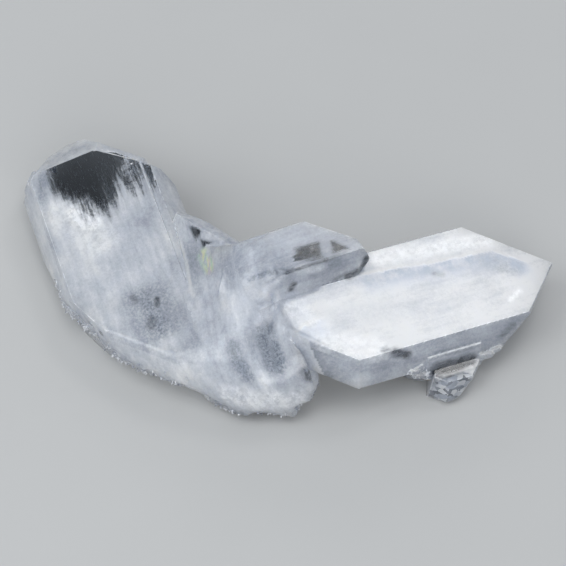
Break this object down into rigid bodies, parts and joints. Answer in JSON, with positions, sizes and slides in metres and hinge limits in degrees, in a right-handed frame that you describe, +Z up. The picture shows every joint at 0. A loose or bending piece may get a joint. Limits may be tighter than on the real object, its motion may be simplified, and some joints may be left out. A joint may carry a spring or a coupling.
{
  "type": "faden quartz cluster",
  "caption": "Cluster of flat, partly milky quartz crystals grown together side by side, lying on its broken base as a display specimen.",
  "frame": {"origin": "centre of the bounding box at the resting plane", "axes": "+X along the row of crystals from the left tablet to the right tablet, +Y to the back, +Z up"},
  "size_m": [0.092, 0.0602, 0.0224],
  "materials": {
    "quartz": "clear to milky white, glossy crystal faces"
  },
  "bodies": {
    "root": {"faden_quartz_cluster": "quartz"}
  },
  "joints": []
}
